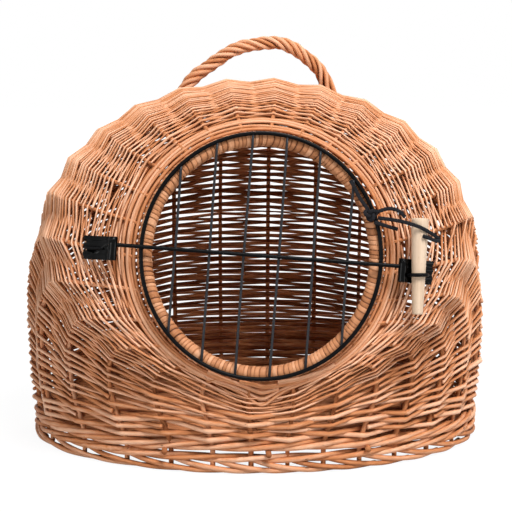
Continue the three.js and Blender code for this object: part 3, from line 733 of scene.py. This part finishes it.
def makeRim(finish):
    # hoop wound with split willow: tube radius dips at each seam of the winding and steps up over its edge
    look = rimWrap
    count, sides = look["wraps"] * look["perWrap"], look["sides"]
    theta, f = circle(count)[:, None], circle(sides)[None]
    a, b = doorway["radius"], doorway["radius"] + doorway["oval"]
    uneven = sum(share * np.sin(times * theta + phase) for share, times, phase in look["uneven"])
    winding = look["wraps"] * theta / fullTurn + uneven + look["slant"] * np.sin(f)
    number = np.floor(winding).astype(int) % look["wraps"]
    seam = winding - np.floor(winding)
    depth = np.abs(2 * seam - 1) ** look["sharp"]
    swell = rng.uniform(*look["swell"], look["wraps"])[number]
    tilt = rng.uniform(*look["tilt"], look["wraps"])[number]
    radius = doorway["tube"] * (1 - look["groove"] * depth + swell) + look["lip"] * tilt * (seam - 0.5)
    acrossX, acrossRise = b * np.cos(theta), a * np.sin(theta)
    size = np.hypot(acrossX, acrossRise)
    x = a * np.cos(theta) + radius * np.cos(f) * acrossX / size
    rise = b * np.sin(theta) + radius * np.cos(f) * acrossRise / size
    points = onRim(x, rise, radius * np.sin(f)).reshape(-1, 3)
    grid = np.arange(count * sides).reshape(count, sides)
    nextRing = np.roll(grid, -1, 0)
    quads = np.stack([grid, nextRing, np.roll(nextRing, -1, 1), np.roll(grid, -1, 1)], -1).reshape(-1, 4)
    u, v = theta * a + 0 * f, f / fullTurn + 0 * theta
    uv = cornerMap(v, v + 1 / sides, u, u + fullTurn * a / count)[..., ::-1]
    # painted shade: the tone drops in each seam of the winding
    tone = rng.random(look["wraps"])[number] - look["seamShade"] * depth
    piece = makeMesh("rimWinding", points, quads, uv, tone)
    settle(piece, "basket", "rim_wrap", finish, "door_rim")


handleShape = dict(
    back=15 * mm, middle=426.5 * mm, strands=5, strand=2.65 * mm, ring=4.85 * mm, core=2.4 * mm,
    pitch=58 * mm,
    splay=0.8, open=0.7, slack=0.6,  # where the right foot opens out, how far, and how much less it twists
    ringSpread=0.05, rodSpread=0.1, butt=1.05, tip=0.95,
    arch=((-88, -72), (-71, -43), (-49, -24), (-18, -6), (14, 0), (37, -4), (60, -19), (74, -37), (84, -72)),
)


def makeHandle(finish):
    # rods laid round an arch like rope: each circles the arch once per pitch, opening out at the right foot
    look, strands = handleShape, handleShape["strands"]
    arch = np.array(look["arch"]) * mm
    depthLine = np.full(len(arch), look["back"] + basketMiddle[1])
    line = np.column_stack([basketMiddle[0] + arch[:, 0], depthLine, look["middle"] + arch[:, 1]])
    path = evenly(through(line, np.linspace(0, 1, 400)), 120)
    run = np.linspace(0, 1, len(path))
    depth = np.array([0, 1.0, 0])
    up = unit(np.cross(unit(np.gradient(path, axis=0)), depth))
    opening = rising(run, look["splay"], 1 - look["splay"])
    laps = steps(path).sum() / look["pitch"]
    f = circle(strands)[:, None] - fullTurn * laps * (run - look["slack"] * opening * (run - look["splay"]))
    ring = look["ring"] * (1 + look["open"] * opening) * varied(look["ringSpread"], strands, 1)
    lift = np.cos(f)[..., None] * up + np.sin(f)[..., None] * depth
    radius = look["strand"] * varied(look["rodSpread"], strands, 1) * mix(look["butt"], look["tip"], run)
    # core painted dark as shade among the rods; the rods take painted light and shade by their facing
    core = tubeArrays(path[None], up[None], look["core"], sides=8, tone=0.0, outer=-1.0)
    rods = tubeArrays(path + ring[..., None] * lift, lift, radius, sides=8, outer=0.0)
    settle(makeMesh("handleRods", *joined(core, rods)), "basket", "handle_rods", finish, "handle")


footShape = dict(halfWidth=238 * mm, halfDepth=198.5 * mm)
footBand = dict(strands=3, laps=9, reachOut=4.5 * mm, reachUp=2.3 * mm, rod=2.7 * mm, height=16.2 * mm)
border = dict(
    reach=2.5, top=15.5 * mm, low=2.75 * mm, fall=2.6, out=3.6 * mm,  # reach in stakes
    outZone=(0, 0.25), inZone=(0.6, 0.4), rod=2.8 * mm, spread=0.05, tip=0.85,
)


def footPlace(turn):
    # point of the foot's oval on the floor, and the direction straight away from the oval
    sine, cosine, flat = np.sin(turn), np.cos(turn), 0 * turn
    width, depth = footShape["halfWidth"], footShape["halfDepth"]
    place = np.stack([width * cosine, depth * sine, flat], -1) + basketMiddle
    return place, unit(np.stack([depth * cosine, width * sine, flat], -1))


def makeFoot(finish):
    # wale: a twisted band; border: each stake's end goes down to the right, out past the next, then in
    place, away = footPlace(circle(ropeLook["points"]))
    arrays = ropeBand(place + footBand["height"] * upward, away, upward, footBand)
    settle(makeMesh("footWale", *arrays), "basket", "border_rods", finish, "foot_wale")
    run = np.linspace(0, 1, 48)
    turns = stakeTurns(0.0)
    stakePlace = np.arange(stakeCount)[:, None] + border["reach"] * run
    turn = np.interp(stakePlace, np.arange(2 * stakeCount), np.concatenate([turns, turns + fullTurn]))
    place, away = footPlace(turn)
    out = border["out"] * (rising(run, *border["outZone"]) - 2 * rising(run, *border["inZone"]))
    height = mix(border["low"], border["top"], (1 - run) ** border["fall"])
    path = place + out[:, None] * away + height[:, None] * upward
    radius = border["rod"] * varied(border["spread"], stakeCount, 1) * mix(1.0, border["tip"], run)
    # painted light and shade by facing, as on the weavers
    piece = tubePiece("footBorder", path, away, radius, sides=10, outer=0.0)
    settle(piece, "basket", "border_rods", finish, "foot_border")


baseShape = dict(
    spacing=3.3 * mm, rod=1.55 * mm, spread=0.07, wave=1.3 * mm, stickGap=52.5 * mm, samples=56,
    crossSticks=3, longSticks=2, stickBow=0.3 * mm, stickTaper=0.05,
)


def makeBase(finish, stickFinish):
    # base: straight weavers side by side across the oval, up and down by a cosine between the sticks
    look = baseShape
    low, high = (np.array(c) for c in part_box("base_mat"))
    middle, half = (low + high) / 2, (high - low) / 2
    count = int(2 * half[1] / look["spacing"]) - 1
    y = (np.arange(count) - (count - 1) / 2) * look["spacing"]
    reach = half[0] * np.sqrt(1 - (y / half[1]) ** 2)
    x = reach[:, None] * np.linspace(-1, 1, look["samples"])
    sign = (-1.0) ** np.arange(count)[:, None]
    z = look["wave"] * sign * np.cos(np.pi * x / look["stickGap"])
    path = middle + np.stack([x, y[:, None] + 0 * x, z], -1)
    radius = look["rod"] * varied(look["spread"], count, 1)
    settle(tubePiece("baseWeavers", path, upward, radius), "basket", "base_weave", finish, "base_mat")
    for name, node, axis in (("crossSticks", "cross_stick_%d", 1), ("longSticks", "long_stick_%d", 0)):
        nodes = [node % (k + 1) for k in range(look[name])]
        boxes = [[np.array(c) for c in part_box(n)] for n in nodes]
        centre = np.array([(a + b) / 2 for a, b in boxes])
        reach = np.array([(b - a)[axis] / 2 for a, b in boxes])
        radius = np.array([(b - a)[2] / 2 for a, b in boxes])
        run = np.linspace(-1, 1, 40)
        path = np.repeat(centre[:, None], len(run), 1)
        path[:, :, axis] += reach[:, None] * run
        path[:, :, 2] += look["stickBow"] * np.sin(6 * run + 1)
        thick = radius[:, None] * (1 - look["stickTaper"] * run[None])
        settle(tubePiece(name, path, upward, thick, sides=10), "basket", "stakes", stickFinish, *nodes)


doorWire = dict(
    ring=121.4 * mm, oval=3 * mm, ringWire=2.1 * mm, ringOut=10.4 * mm,
    bars=6, barGap=35 * mm, barWire=1.4 * mm, barShort=0.4 * mm, barWander=0.35 * mm,
    rodOut=14.8 * mm, rodWire=2 * mm, left=-150 * mm, right=143.5 * mm,
    leftLeg=14 * mm, rightLeg=16 * mm, bend=3 * mm,
)


def makeDoor(finish, barFinish):
    # ring: oval hoop of wire; bars: straight wires across it; rod: quarter-round bends into its two legs
    look = doorWire
    theta = circle(160)
    a, b = look["ring"], look["ring"] + look["oval"]
    path = onDoor(a * np.cos(theta), b * np.sin(theta), look["ringOut"])[None]
    ring = tubePiece("doorRing", path, outAxis, look["ringWire"], sides=12, closed=True)
    settle(ring, "door", "black_wire", finish, "door_ring")
    x = (np.arange(look["bars"]) - (look["bars"] - 1) / 2) * look["barGap"]
    reach = b * np.sqrt(1 - (x / a) ** 2) - look["barShort"]
    run = np.linspace(-1, 1, 24)
    wander = look["barWander"] * np.sin(2.2 * run + x[:, None] * 60)
    path = onDoor(x[:, None] + wander, reach[:, None] * run, look["ringOut"])
    bars = tubePiece("doorBars", path, outAxis, look["barWire"], sides=10)
    settle(bars, "door", "black_wire", barFinish, *["door_bar_%d" % (k + 1) for k in range(look["bars"])])
    quarter = np.linspace(0, np.pi / 2, 9)
    left, right, bend = look["left"], look["right"], look["bend"]
    legLeft, legRight = np.linspace(-look["leftLeg"], -bend, 7), np.linspace(-bend, -look["rightLeg"], 7)
    xs = np.concatenate([np.full(6, left), left + bend * (1 - np.cos(quarter)),
                         np.linspace(left + bend, right - bend, 40)[1:-1],
                         right - bend * (1 - np.sin(quarter)), np.full(6, right)])
    rises = np.concatenate([legLeft[:-1], bend * (np.sin(quarter) - 1), np.zeros(38),
                            bend * (np.cos(quarter) - 1), legRight[1:]])
    path = onDoor(xs, rises, look["rodOut"])[None]
    rod = tubePiece("doorRod", path, outAxis, look["rodWire"], sides=12)
    settle(rod, "door", "black_wire", finish, "door_rod")


strapShape = dict(
    fold=4.7 * mm, half=1.25 * mm, thinnest=0.02 * mm, above=8 * mm, below=16 * mm,
    hingeDrop=39.1, hingeReach=38 * mm, latchDrop=28.9, latchReach=36 * mm,  # drops in degrees
    meet=0.35, meetOver=1.5,  # where the fold's two layers come together, in radii of the fold
    sag=1.1 * mm, curl=0.9 * mm, waves=9,
    crease=0.9 * mm, creaseWidth=1.1 * mm, alongAt=4.5 * mm, aslantAt=3 * mm, slant=0.55,
)


def foldedStrap(name, legX, side, drop, reach):
    # strap folded round the rod's leg: half thickness is the fold's circle, eased down to two layers of tail
    look, fold = strapShape, strapShape["fold"]
    bend, straight = -fold * np.cos(np.linspace(0, 2.2, 18)), np.linspace(0.3, 1, 36) ** 1.6 * reach
    t = np.sort(np.concatenate([bend, straight]))
    bulge = np.sqrt(np.maximum(fold**2 - t**2, 0))
    half = mix(bulge, look["half"], rising(t, look["meet"] * fold, look["meetOver"] * fold))
    half = np.maximum(half, look["thinnest"])
    outline = np.concatenate([np.stack([t[::-1], half[::-1]], -1), np.stack([t, -half], -1)])
    sag = look["sag"] * np.sin(np.pi * np.clip(outline[:, 0] / reach, 0, 1)) ** 2
    across = np.concatenate([[-1, -0.985], np.linspace(-0.95, 0.95, 31), [0.985, 1]])  # edges rounded off
    edge = np.concatenate([[0.55, 0.9], np.ones(31), [0.9, 0.55]])
    width = mix(-look["below"], look["above"], (across + 1) / 2)[:, None]
    along = np.broadcast_to(outline[None, :, 0], (len(edge), len(outline)))
    curl = look["curl"] * np.sin(look["waves"] * across[:, None]) * np.clip(along / reach, 0, 1)
    creases = [width - look["alongAt"] + 0 * along, width + look["slant"] * along - look["aslantAt"]]
    raised = sum(np.exp(-(crease / look["creaseWidth"]) ** 2) for crease in creases)
    raised = raised * (outline[None, :, 1] > 0)
    thick = edge[:, None] * outline[None, :, 1] - sag[None] + curl + look["crease"] * raised
    slope = np.radians(drop)
    tail = side * np.cos(slope) * doorSide - np.sin(slope) * outAxis
    proud = side * np.sin(slope) * doorSide + np.cos(slope) * outAxis
    leg = onDoor(legX, 0.0, doorWire["rodOut"])
    points = leg + along[..., None] * tail + thick[..., None] * proud + width[..., None] * doorRise
    count, loop = along.shape
    pairs = np.arange(loop // 2 - 1)
    capped = np.stack([pairs, pairs + 1, loop - 2 - pairs, loop - 1 - pairs], -1)
    quads = np.concatenate([bandQuads(count, loop), capped[:, ::-1], capped + (count - 1) * loop])
    if side > 0:
        quads = quads[:, ::-1]
    flatUv = np.zeros((len(quads), 4, 2))
    return makeMesh(name, points.reshape(-1, 3), quads, flatUv, np.zeros(count * loop))


latch = dict(
    pegX=158.7 * mm, pegRise=-11.7 * mm, pegOut=16.661 * mm, tilt=2.1, chamfer=0.8 * mm,
    topRadius=9 * mm, tipRadius=5.6 * mm, length=97 * mm, pegSides=32, uneven=0.008, middleRadius=0.02 * mm,
    stapleRise=-20.5 * mm, stapleX=158.377 * mm, stapleHalf=9.25 * mm, stapleWire=1.9 * mm,
    stapleDepth=24 * mm, tieWire=1.4 * mm, tieRise=-4.5 * mm,
    tie=((11, -12), (12, -4), (12.4, 1.5), (15, 2.7), (19, 2.9), (24, 2.9), (29, 2.8), (33, 2.4), (36, 0.5),
         (38, -7)),  # along the strap and above it, in mm
)


def makeStrapsAndWires(strapFinish, wireFinish):
    # straps on both legs of the rod; staple: half circle over the peg with two legs; tie: wire on the strap
    look, strap = latch, strapShape
    hinge = foldedStrap("hingeStrap", doorWire["left"], -1, strap["hingeDrop"], strap["hingeReach"])
    settle(hinge, "basket", "strap", strapFinish, "hinge_strap")
    tongue = foldedStrap("latchStrap", doorWire["right"], 1, strap["latchDrop"], strap["latchReach"])
    settle(tongue, "door", "strap", strapFinish, "latch_strap")
    bow = np.linspace(0, np.pi, 17)
    legs = np.linspace(1, 0, 8)[:-1] * look["stapleDepth"]
    half = look["stapleHalf"]
    x = np.concatenate([np.full(7, half), half * np.cos(bow), np.full(7, -half)])
    out = np.concatenate([-legs, half * np.sin(bow), -legs[::-1]])
    path = onRim(look["stapleX"] + x, look["stapleRise"], look["pegOut"] + out)[None]
    staple = tubePiece("latchStaple", path, riseAxis, look["stapleWire"], sides=8)
    settle(staple, "basket", "black_wire", wireFinish, "latch_staple")
    drop = np.radians(strap["hingeDrop"])
    along, above = np.array(look["tie"]).T * mm
    x = doorWire["left"] - along * np.cos(drop) - above * np.sin(drop)
    out = doorWire["rodOut"] - along * np.sin(drop) + above * np.cos(drop)
    path = evenly(through(onDoor(x, look["tieRise"], out), np.linspace(0, 1, 200)), 50)[None]
    tie = tubePiece("hingeTie", path, doorRise, look["tieWire"], sides=8)
    settle(tie, "basket", "black_wire", wireFinish, "hinge_tie")


def makePeg(finish):
    # turned stick: radius tapers along it, edges of both ends rounded off
    look = latch
    half, sides = look["length"] / 2, look["pegSides"]
    edge = look["chamfer"] * np.array([0, 0, 0.35, 1])
    run = np.concatenate([edge - half, np.linspace(-half, half, 46)[2:-2], half - edge[::-1]])
    radius = mix(look["tipRadius"], look["topRadius"], run / look["length"] + 0.5)
    trim = np.array([1, look["chamfer"], 0.28 * look["chamfer"], 0])  # the first ring closes the end
    radius[:4] -= trim
    radius[-4:] -= trim[::-1]
    radius = np.maximum(radius, look["middleRadius"])
    tilt = np.radians(look["tilt"])
    axis = np.cos(tilt) * riseAxis + np.sin(tilt) * sideAxis
    across = np.cos(tilt) * sideAxis - np.sin(tilt) * riseAxis
    f = circle(sides)
    uneven = 1 + look["uneven"] * np.sin(3 * f)[None] * np.sin(run / look["length"] * 7)[:, None]
    centre = onRim(look["pegX"], look["pegRise"], look["pegOut"])
    ring = np.cos(f)[:, None] * outAxis + np.sin(f)[:, None] * across
    points = centre + run[:, None, None] * axis + (radius[:, None] * uneven)[..., None] * ring
    u, uEnd = (np.repeat(part[:, None], sides, 1) for part in (run[:-1], run[1:]))
    v = np.broadcast_to(np.arange(sides) / sides, u.shape)
    uv, flat = cornerMap(u, uEnd, v, v + 1 / sides), np.zeros(len(run) * sides)
    peg = makeMesh("latchPeg", points.reshape(-1, 3), bandQuads(len(run), sides), uv, flat)
    settle(peg, "peg", "peg_wood", finish, "latch_peg")


# lace: places to the right, up and out of the rim's plane, in mm
laceLevel = 15.4  # on the door's ring
laceClear = 26.661  # over the peg
lace = dict(
    width=4 * mm, thick=1.2 * mm,
    knot=(110.5, 41, 16.3), knotHalf=(7.5, 6.5, 3.5), knotRod=1.3 * mm, knotFlat=1.5,
    knotFill=0.85, knotWeave=0.5,  # share of the knot's size that its line takes, across and out
    laceMain=[(118, 37.5, laceLevel), (132, 35.5, laceLevel + 4), (146, 32, laceClear),
              (160, 27, laceClear + 1), (172, 21, laceClear - 6), (181, 16, laceClear - 18)],
    laceTip=[(181.4, 14.4, laceClear - 17), (176.5, 14.2, laceClear - 10.5), (169, 16.4, laceClear - 3),
             (162, 18.7, laceClear + 0.6)],  # turned-back end of the main strand
    laceLoop=[(117.6, 43.8, laceLevel), (126, 46.5, laceLevel + 1), (133, 46.5, laceLevel + 3),
              (140, 43.5, laceLevel + 4), (145, 38, laceLevel + 4)],
    laceTail=[(114.2, 33.4, laceLevel), (126, 29.5, laceLevel + 1), (138, 26, laceLevel)],
    barTurn=[(108, 46, 15), (100, 58, 13), (94, 70, 12.6), (90.5, 76, 12.4)],  # from knot to last bar
)


def laceStrand(route, count):
    # flat strand on its route: an oval section, wide across the route and thin out of the door
    points = np.array(route) * mm
    line = through(onRim(points[:, 0], points[:, 1], points[:, 2]), np.linspace(0, 1, 300))
    path = evenly(line, count)
    flat = lace["width"] / lace["thick"]
    return path, tubeArrays(path[None], outAxis, lace["thick"] / 2, sides=10, flat=flat, tone=0.0)


def makeLace(finish):
    # free strands; the knot is a trefoil line, round its middle as it goes twice about
    made, paths = {}, {}
    nodes = dict(laceMain="lace_main", laceLoop="lace_loop", laceTail="lace_tail", laceTip="lace_main")
    for name, node in nodes.items():
        paths[name], arrays = laceStrand(lace[name], 40)
        made[name] = settle(makeMesh(name, *arrays), "door", "lace", finish, node)
    t = circle(120)
    place, half = np.array(lace["knot"]) * mm, np.array(lace["knotHalf"]) * mm
    x = place[0] + lace["knotFill"] * half[0] * (np.sin(t) + 2 * np.sin(2 * t)) / 3
    rise = place[1] + lace["knotFill"] * half[1] * (np.cos(t) - 2 * np.cos(2 * t)) / 3
    path = onRim(x, rise, place[2] - lace["knotWeave"] * half[2] * np.sin(3 * t))[None]
    knot = tubeArrays(path, outAxis, lace["knotRod"], sides=10, flat=lace["knotFlat"], closed=True, tone=0.0)
    arrays = joined(knot, laceStrand(lace["barTurn"], 24)[1])
    made["laceKnot"] = settle(makeMesh("laceKnot", *arrays), "door", "lace", finish, "lace_knot")


camera = dict(
    place=(-0.0728, -2.3333, 0.5644), aim=(-0.005, -0.190, 0.2237), clip=(0.1, 50),
    focus=2149, image=512, sensor=36.0,  # focal length and picture in pixels, sensor in mm
)


def aimed(item, place, aim):  # into the scene at a place, its -z axis at the aim
    item.location = place
    item.rotation_euler = (Vector(aim) - Vector(place)).to_track_quat("-Z", "Y").to_euler()
    bpy.context.scene.collection.objects.link(item)


def makeCamera():
    # lens = sensor x focal length / picture, both in pixels
    data = bpy.data.cameras.new("camera")
    data.sensor_width = camera["sensor"]
    data.lens = camera["sensor"] * camera["focus"] / camera["image"]
    data.clip_start, data.clip_end = camera["clip"]
    eye = bpy.data.objects.new("camera", data)
    aimed(eye, camera["place"], camera["aim"])
    bpy.context.scene.camera = eye


studio = dict(
    world=0.07, floor=(0.5, 0.5, 0.5), floorPale=(0.55, 0.55, 0.55), floorReach=4.0,
    glow=0.84, glowStrength=1.12,  # how much of the floor is plain white to the camera
    clear=(0.45, 1.0),  # metres from the basket, where the floor goes over to plain white
    aim=(0, 0, 0.2),
    lamps=(  # name, place, size, watts
        ("keyLamp", (0.7, -1.4, 2.65), 1.1, 100),
        ("fillLamp", (-2.0, -1.8, 0.3), 1.2, 26),
        ("sideLamp", (2.3, -1.4, 0.7), 1.2, 16),
        ("backLamp", (0.2, 1.6, 2.4), 1.4, 34),
    ),
)


def seenDirectly(start):  # 1 where the camera, a gloss or a clear body looks straight at it
    names = ("Is Camera Ray", "Is Glossy Ray", "Is Transmission Ray")
    rays = [start.node("ShaderNodeLightPath", out=name) for name in names]
    both = rays[0].calc("MAXIMUM", rays[0], rays[1])
    return both.calc("MAXIMUM", both, rays[2])


def makeStudio():
    # white backdrop with a plain soft light level, four area lamps, a pale floor that shows only the shadow
    scene = bpy.context.scene
    scene.view_settings.view_transform = "Standard"
    world = bpy.data.worlds.new("studioLight")
    scene.world = world
    world.use_nodes = True
    tree = world.node_tree
    background = tree.nodes["Background"]
    background.inputs["Color"].default_value = (1, 1, 1, 1)
    strength = seenDirectly(Value(tree, None)) * (1 - studio["world"]) + studio["world"]
    tree.links.new(strength.socket, background.inputs["Strength"])
    for name, place, size, watts in studio["lamps"]:
        data = bpy.data.lights.new(name, "AREA")
        data.size, data.energy = size, watts
        aimed(bpy.data.objects.new(name, data), place, studio["aim"])
    reach = studio["floorReach"]
    corners = [(-reach, -reach, 0), (reach, -reach, 0), (reach, reach, 0), (-reach, reach, 0)]
    mesh = bpy.data.meshes.new("floor")
    mesh.from_pydata(corners, [], [(0, 1, 2, 3)])
    floor = bpy.data.objects.new("floor", mesh)
    scene.collection.objects.link(floor)
    finish = Finish("paleFloor", Roughness=0.9, Specular_IOR_Level=0.0)
    cloud = finish.place.noise(3, 2)
    finish.feed(Base_Color=cloud.ramp((0, studio["floor"]), (1, studio["floorPale"])))
    light = {"Color": (1, 1, 1, 1), "Strength": studio["glowStrength"]}
    glow = cloud.node("ShaderNodeEmission", None, light)
    shade = Value(finish.tree, finish.shader.outputs[0])
    far = cloud.node("ShaderNodeVectorMath", dict(operation="LENGTH"), {0: finish.place}, "Value")
    share = far.between(*studio["clear"]) * (1 - studio["glow"]) + studio["glow"]
    both = shade.node("ShaderNodeMixShader", None, {0: seenDirectly(cloud) * share, 1: shade, 2: glow})
    finish.tree.links.new(both.socket, finish.tree.nodes["Material Output"].inputs["Surface"])
    mesh.materials.append(finish.material)


makeCamera()
makeStudio()
print("camera and studio")
weaverFinish = willow("weaverWillow")
# light moves a copy's whole colour: stakes painted darker as shade behind the weavers, the border and the
# handle a little darker
stakeFinish = willow("stakeWillow", light=-0.05)
borderFinish = willow("borderWillow", light=-0.1)
wireFinish = blackWire("blackLacquer")
makeLace(laceCloth("blackLace"))
print("lace")
makeWeave(weaverFinish)
makeWale(weaverFinish)
makeHoops(weaverFinish)
makeStakes(stakeFinish)
print("wall")
makeRim(wrapSkin("rimBand"))
makeHandle(willow("handleWillow", light=-0.04))
makeFoot(borderFinish)
# base painted darker as shade inside the basket
makeBase(willow("baseWillow", light=-0.16), stakeFinish)
print("rim, handle, foot and base")
# bars: a copy of the lacquer seven times paler, painted highlight, and glossier
makeDoor(wireFinish, blackWire("paintedHighlightBarLacquer", grey=7.0, gloss=0.18))
makeStrapsAndWires(blackStrap("blackLeathercloth"), wireFinish)
makePeg(beech("pegBeech"))
print("door and latch")
